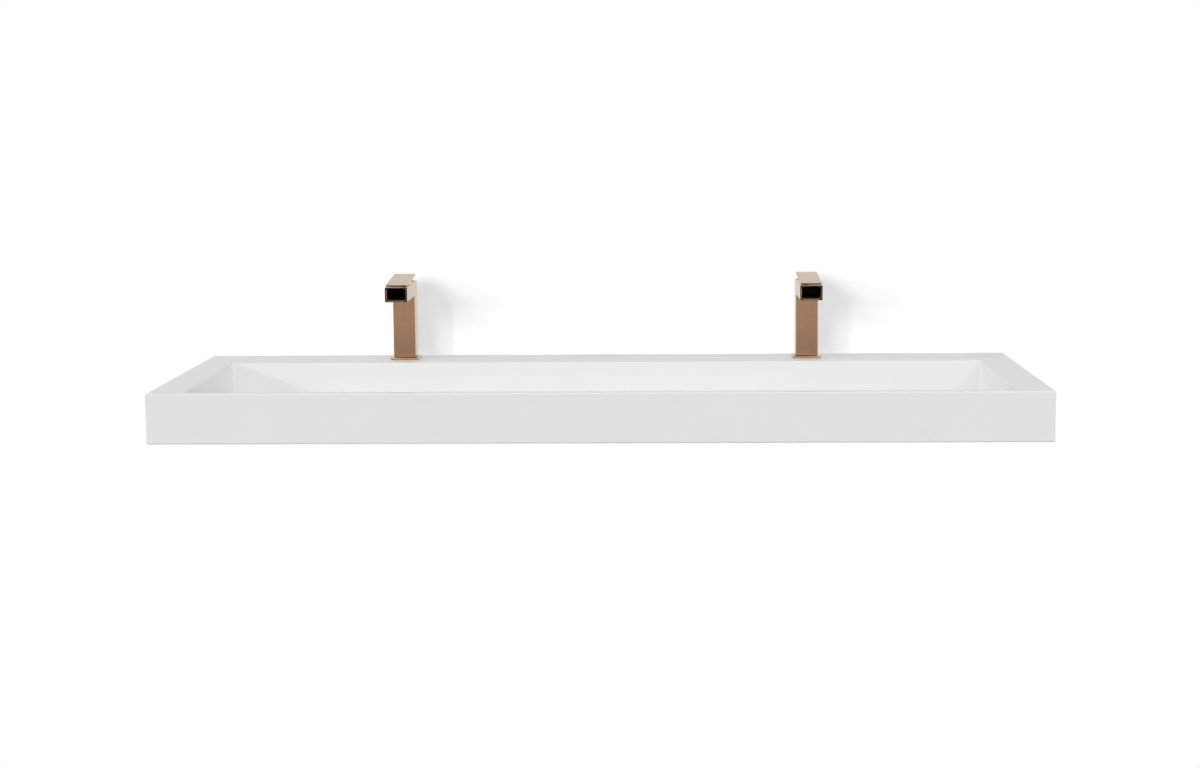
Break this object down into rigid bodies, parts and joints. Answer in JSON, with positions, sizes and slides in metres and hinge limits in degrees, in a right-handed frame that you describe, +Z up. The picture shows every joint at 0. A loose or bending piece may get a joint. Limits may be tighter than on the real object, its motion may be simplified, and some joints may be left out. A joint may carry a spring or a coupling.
{
  "type": "trough sink",
  "caption": "Wall-hung rectangular trough sink cast in white solid surface, with square rose-gold single-lever mixers that have open-front box spouts, grid drains and hidden steel brackets.",
  "frame": {"origin": "centre of the wall-bolt pattern, on the wall plane", "axes": "+X along the trough to the right as one faces it, +Y into the wall, +Z up"},
  "size_m": [1.524, 0.559, 0.309],
  "materials": {
    "solid_surface": "satin",
    "rose_gold": "polished",
    "raw_brass": "satin",
    "steel": "satin",
    "bracket_coat": "satin",
    "black_rubber": "matte",
    "cartridge_plastic": "matte",
    "washer_plastic": "matte",
    "valve_ceramic": "polished"
  },
  "bodies": {
    "sink": {"trough": "solid_surface", "outer_left_bracket": "bracket_coat", "inner_left_bracket": "bracket_coat", "inner_right_bracket": "bracket_coat", "outer_right_bracket": "bracket_coat", "cast_inserts": "raw_brass", "arm_screws": "steel", "arm_washers": "steel", "left_base_gasket": "black_rubber", "left_base_plate": "rose_gold", "left_faucet_body": "rose_gold", "left_cartridge_gasket": "black_rubber", "left_cartridge_shell": "cartridge_plastic", "left_fixed_disc": "valve_ceramic", "left_cartridge_nut": "raw_brass", "left_bezel_ring": "rose_gold", "left_shank": "raw_brass", "left_shank_seal": "black_rubber", "left_shank_washer": "steel", "left_shank_nut": "raw_brass", "left_strainer": "rose_gold", "left_strainer_gasket": "black_rubber", "left_drain_seal": "black_rubber", "left_drain_washer": "washer_plastic", "left_drain_nut": "raw_brass", "left_tailpiece": "rose_gold", "right_base_gasket": "black_rubber", "right_base_plate": "rose_gold", "right_faucet_body": "rose_gold", "right_cartridge_gasket": "black_rubber", "right_cartridge_shell": "cartridge_plastic", "right_fixed_disc": "valve_ceramic", "right_cartridge_nut": "raw_brass", "right_bezel_ring": "rose_gold", "right_shank": "raw_brass", "right_shank_seal": "black_rubber", "right_shank_washer": "steel", "right_shank_nut": "raw_brass", "right_strainer": "rose_gold", "right_strainer_gasket": "black_rubber", "right_drain_seal": "black_rubber", "right_drain_washer": "washer_plastic", "right_drain_nut": "raw_brass", "right_tailpiece": "rose_gold"},
    "left_carrier": {"left_stem_carrier": "cartridge_plastic", "left_pivot_pin": "steel"},
    "left_disc": {"left_moving_disc": "valve_ceramic", "left_disc_driver": "cartridge_plastic"},
    "left_lever": {"left_stem": "steel", "left_lever": "rose_gold", "left_grub_screw": "steel"},
    "right_carrier": {"right_stem_carrier": "cartridge_plastic", "right_pivot_pin": "steel"},
    "right_disc": {"right_moving_disc": "valve_ceramic", "right_disc_driver": "cartridge_plastic"},
    "right_lever": {"right_stem": "steel", "right_lever": "rose_gold", "right_grub_screw": "steel"}
  },
  "joints": [
    {"name": "left_lever_swivel", "type": "hinge", "parent": "sink", "child": "left_carrier", "pos_m": [-0.381, -0.052, 0.218], "axis": [0, 0, 1], "range_deg": [-45, 45]},
    {"name": "left_lever_lift", "type": "hinge", "parent": "left_carrier", "child": "left_lever", "pos_m": [-0.381, -0.052, 0.218], "axis": [-1, 0, 0], "range_deg": [0, 20]},
    {"name": "left_disc_slide", "type": "slide", "parent": "left_carrier", "child": "left_disc", "axis": [0, -1, 0], "range_m": [0, 0.003]},
    {"name": "right_lever_swivel", "type": "hinge", "parent": "sink", "child": "right_carrier", "pos_m": [0.381, -0.052, 0.218], "axis": [0, 0, 1], "range_deg": [-45, 45]},
    {"name": "right_lever_lift", "type": "hinge", "parent": "right_carrier", "child": "right_lever", "pos_m": [0.381, -0.052, 0.218], "axis": [-1, 0, 0], "range_deg": [0, 20]},
    {"name": "right_disc_slide", "type": "slide", "parent": "right_carrier", "child": "right_disc", "axis": [0, -1, 0], "range_m": [0, 0.003]}
  ],
  "couplings": [
    {"joint": "left_disc_slide", "follows": "left_lever_lift", "m_per_rad": 0.0085},
    {"joint": "right_disc_slide", "follows": "right_lever_lift", "m_per_rad": 0.0085}
  ]
}
